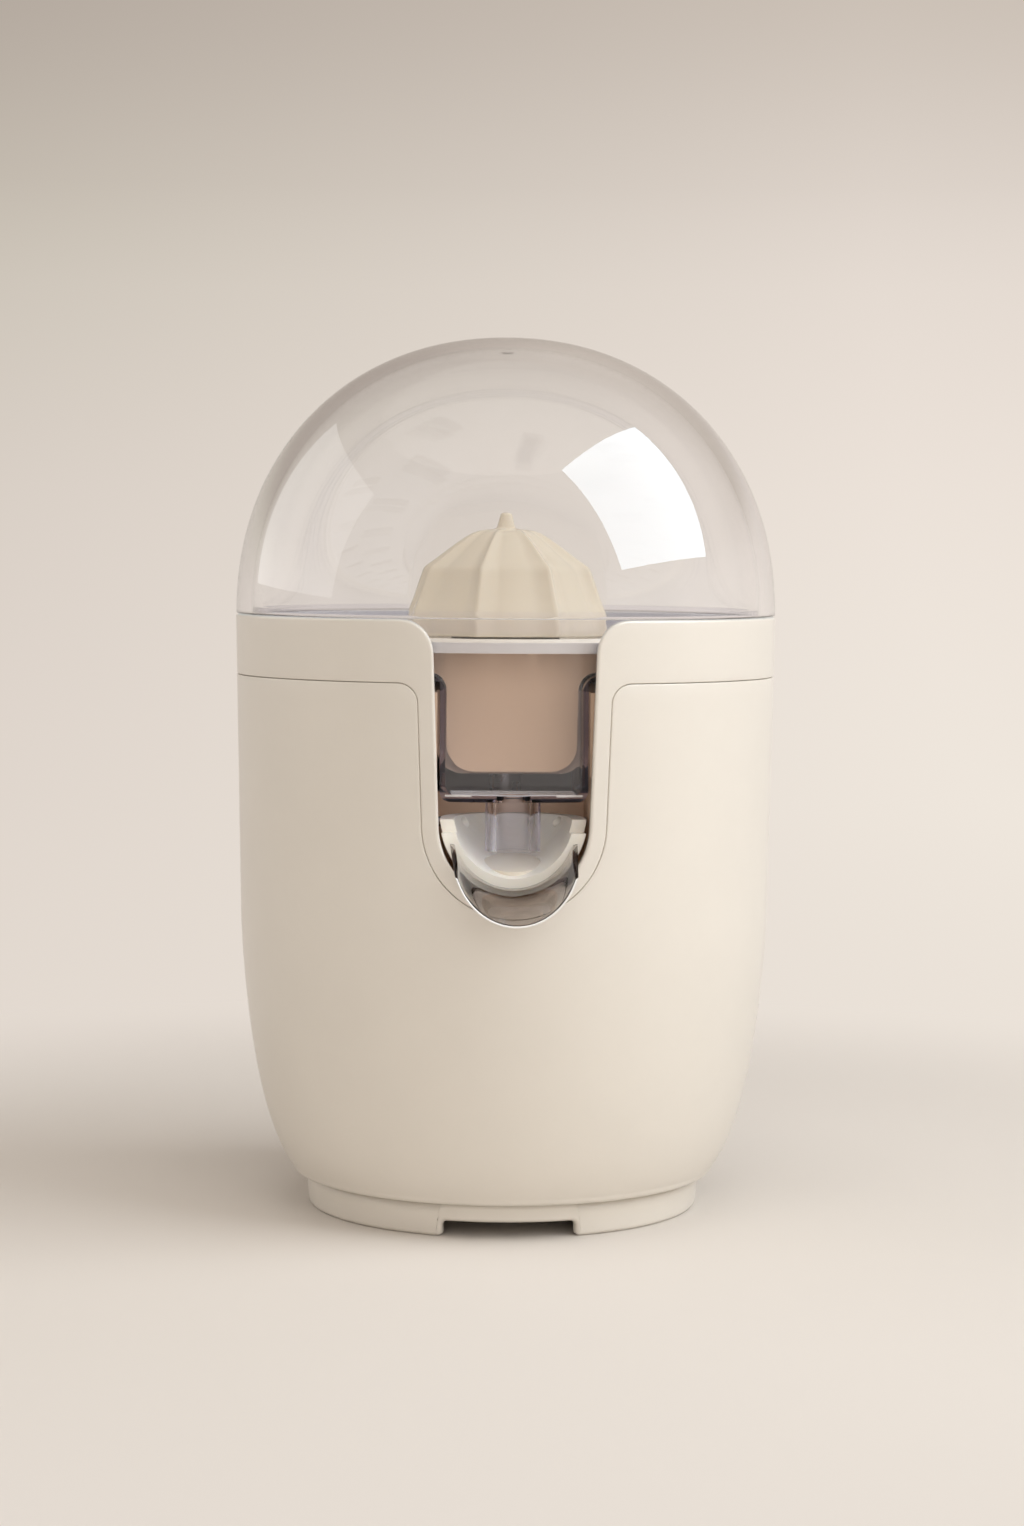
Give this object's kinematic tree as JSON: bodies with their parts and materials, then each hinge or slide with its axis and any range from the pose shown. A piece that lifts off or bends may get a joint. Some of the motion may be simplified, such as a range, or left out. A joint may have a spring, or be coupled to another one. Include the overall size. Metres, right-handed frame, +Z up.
{
  "type": "citrus press juicer",
  "caption": "Electric citrus press: round tapered body, clear dome lid, ribbed reamer over a strainer, clear juice bowl with a front channel and nozzle, and a tilting drip-stop spout.",
  "frame": {"origin": "centre of the underside, on the plane that the feet stand on", "axes": "+Z up along the axis of the reamer, -Y towards the spout, +X to the right seen from the front"},
  "size_m": [0.168, 0.1871, 0.2703],
  "materials": {
    "cream_plastic": "satin moulded ABS",
    "inner_cream_plastic": "fine moulded grain",
    "clear_plastic": "polished, clear",
    "smoky_clear_plastic": "polished, slightly smoky",
    "white_acetal": "moulded",
    "steel": "zinc plated",
    "laminated_iron": "stacked laminations",
    "copper_wire": "enamelled winding",
    "bronze": "sintered",
    "black_rubber": "matte",
    "pale_silicone": "matte",
    "black_plastic": "moulded",
    "red_plastic": "moulded",
    "yellow_plastic": "moulded",
    "wire_sleeve": "extruded insulation"
  },
  "bodies": {
    "housing": {"body_shell": "cream_plastic", "collar": "cream_plastic", "base_plate": "cream_plastic", "rubber_feet": "black_rubber", "base_screws": "steel", "deck": "inner_cream_plastic", "deck_screws": "steel", "hanger_screws": "steel", "deck_bush": "bronze", "shaft_seal": "black_rubber", "spout_cradle": "inner_cream_plastic", "cradle_screws": "steel", "motor_can": "steel", "motor_end_cap": "steel", "stator_core": "laminated_iron", "stator_coils": "copper_wire", "motor_bushes": "bronze", "motor_screws": "steel", "gearbox_tray": "inner_cream_plastic", "gearbox_cover": "inner_cream_plastic", "gearbox_screws": "steel", "idler_pin": "steel", "output_bush": "bronze", "microswitch": "black_plastic", "terminal_block": "white_acetal", "suppression_capacitor": "yellow_plastic", "cable_gland": "black_rubber", "wire_loom": "wire_sleeve", "return_spring": "steel"},
    "output_drive": {"output_gear": "white_acetal", "gear_clip": "steel"},
    "idler": {"idler_gear": "white_acetal"},
    "rotor": {"motor_shaft": "steel", "rotor_core": "laminated_iron", "motor_pinion": "steel"},
    "shaft": {"drive_shaft": "steel", "thrust_washer": "steel"},
    "presser": {"press_plate": "white_acetal", "switch_button": "red_plastic"},
    "bowl": {"juice_bowl": "clear_plastic"},
    "strainer": {"strainer": "cream_plastic"},
    "reamer": {"reamer": "cream_plastic", "reamer_hub": "cream_plastic"},
    "lid": {"lid_dome": "clear_plastic"},
    "spout": {"spout_trough": "cream_plastic", "spout_lip": "smoky_clear_plastic", "drip_pad": "pale_silicone", "spout_pins": "steel"}
  },
  "joints": [
    {"name": "motor_spin", "type": "hinge", "parent": "housing", "child": "rotor", "pos_m": [0, 0, 0.044], "axis": [0, 0, 1], "continuous": true},
    {"name": "idler_spin", "type": "hinge", "parent": "housing", "child": "idler", "pos_m": [0, 0.036, 0.078], "axis": [0, 0, 1], "continuous": true},
    {"name": "drive_spin", "type": "hinge", "parent": "housing", "child": "output_drive", "pos_m": [0, 0, 0.088], "axis": [0, 0, 1], "continuous": true},
    {"name": "cone_press", "type": "slide", "parent": "output_drive", "child": "shaft", "axis": [0, 0, -1], "range_m": [0, 0.0015], "stiffness_N_per_m": 900, "springref_m": -0.006},
    {"name": "plate_press", "type": "slide", "parent": "housing", "child": "presser", "axis": [0, 0, -1], "range_m": [0, 0.0015], "deforming": ["return_spring"]},
    {"name": "bowl_lift", "type": "slide", "parent": "housing", "child": "bowl", "axis": [0, 0, 1], "range_m": [0, 0.09]},
    {"name": "strainer_lift", "type": "slide", "parent": "bowl", "child": "strainer", "axis": [0, 0, 1], "range_m": [0, 0.018]},
    {"name": "reamer_lift", "type": "slide", "parent": "shaft", "child": "reamer", "axis": [0, 0, 1], "range_m": [0, 0.126]},
    {"name": "lid_lift", "type": "slide", "parent": "bowl", "child": "lid", "axis": [0, 0, 1], "range_m": [0, 0.2]},
    {"name": "spout_tilt", "type": "hinge", "parent": "housing", "child": "spout", "pos_m": [0, -0.05446, 0.124], "axis": [-1, 0, 0], "range_deg": [0, 15]}
  ],
  "couplings": [
    {"joint": "idler_spin", "follows": "motor_spin", "ratio": -0.2},
    {"joint": "drive_spin", "follows": "motor_spin", "ratio": 0.04},
    {"joint": "plate_press", "follows": "cone_press", "ratio": 1},
    {"joint": "strainer_lift", "follows": "bowl_lift", "ratio": 0.2},
    {"joint": "reamer_lift", "follows": "bowl_lift", "ratio": 1.4}
  ]
}
